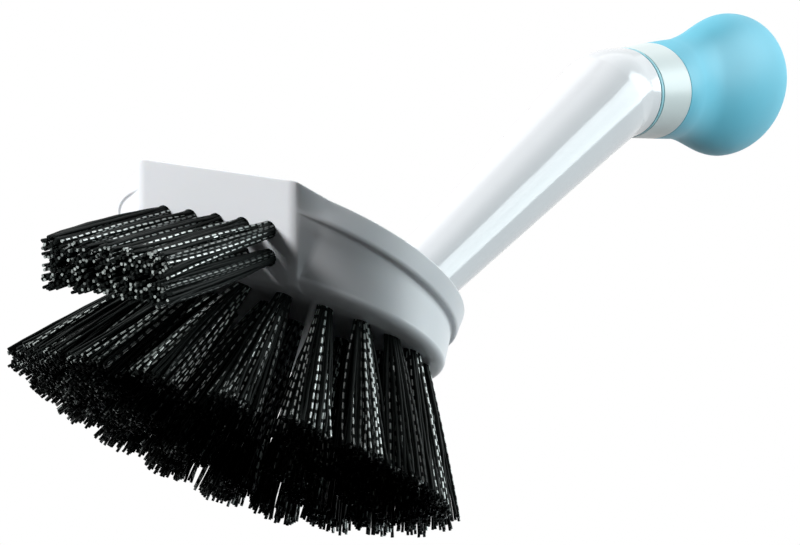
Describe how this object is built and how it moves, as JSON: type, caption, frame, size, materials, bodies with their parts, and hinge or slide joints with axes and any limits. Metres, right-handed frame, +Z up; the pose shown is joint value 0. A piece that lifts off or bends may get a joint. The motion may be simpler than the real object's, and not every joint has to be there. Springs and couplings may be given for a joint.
{
  "type": "dish brush",
  "caption": "Washing-up brush with a round drilled head, a slanted front pad of bristles, a bent round handle and a soft paddle grip.",
  "frame": {"origin": "under the middle of the brush's outer box, on the plane of the trimmed bristle tips of the underside", "axes": "+X from the slanted front pad back along the handle to the grip, +Z up out of the head's flat top, Y across the head"},
  "size_m": [0.1922, 0.0856, 0.1547],
  "materials": {
    "white_plastic": "satin moulded",
    "band_plastic": "satin moulded",
    "accent_plastic": "satin moulded",
    "soft_grip_rubber": "soft matte",
    "black_nylon": "crimped filament"
  },
  "bodies": {
    "root": {"head_block": "white_plastic", "front_tuft_r1_1": "black_nylon", "front_tuft_r1_2": "black_nylon", "front_tuft_r1_3": "black_nylon", "front_tuft_r1_4": "black_nylon", "front_tuft_r1_5": "black_nylon", "front_tuft_r2_1": "black_nylon", "front_tuft_r2_2": "black_nylon", "front_tuft_r2_3": "black_nylon", "front_tuft_r2_4": "black_nylon", "front_tuft_r2_5": "black_nylon", "base_tuft_outer_01": "black_nylon", "base_tuft_outer_02": "black_nylon", "base_tuft_outer_03": "black_nylon", "base_tuft_outer_04": "black_nylon", "base_tuft_outer_05": "black_nylon", "base_tuft_outer_06": "black_nylon", "base_tuft_outer_07": "black_nylon", "base_tuft_outer_08": "black_nylon", "base_tuft_outer_09": "black_nylon", "base_tuft_outer_10": "black_nylon", "base_tuft_outer_11": "black_nylon", "base_tuft_outer_12": "black_nylon", "base_tuft_outer_13": "black_nylon", "base_tuft_outer_14": "black_nylon", "base_tuft_outer_15": "black_nylon", "base_tuft_outer_16": "black_nylon", "base_tuft_outer_17": "black_nylon", "base_tuft_outer_18": "black_nylon", "base_tuft_outer_19": "black_nylon", "base_tuft_outer_20": "black_nylon", "base_tuft_outer_21": "black_nylon", "base_tuft_outer_22": "black_nylon", "base_tuft_middle_01": "black_nylon", "base_tuft_middle_02": "black_nylon", "base_tuft_middle_03": "black_nylon", "base_tuft_middle_04": "black_nylon", "base_tuft_middle_05": "black_nylon", "base_tuft_middle_06": "black_nylon", "base_tuft_middle_07": "black_nylon", "base_tuft_middle_08": "black_nylon", "base_tuft_middle_09": "black_nylon", "base_tuft_middle_10": "black_nylon", "base_tuft_middle_11": "black_nylon", "base_tuft_middle_12": "black_nylon", "base_tuft_inner_01": "black_nylon", "base_tuft_inner_02": "black_nylon", "base_tuft_inner_03": "black_nylon", "base_tuft_inner_04": "black_nylon", "base_tuft_inner_05": "black_nylon", "base_tuft_inner_06": "black_nylon", "handle_shaft": "white_plastic", "accent_ring": "accent_plastic", "collar_band": "band_plastic", "soft_grip": "soft_grip_rubber", "end_plug": "band_plastic"}
  },
  "joints": []
}
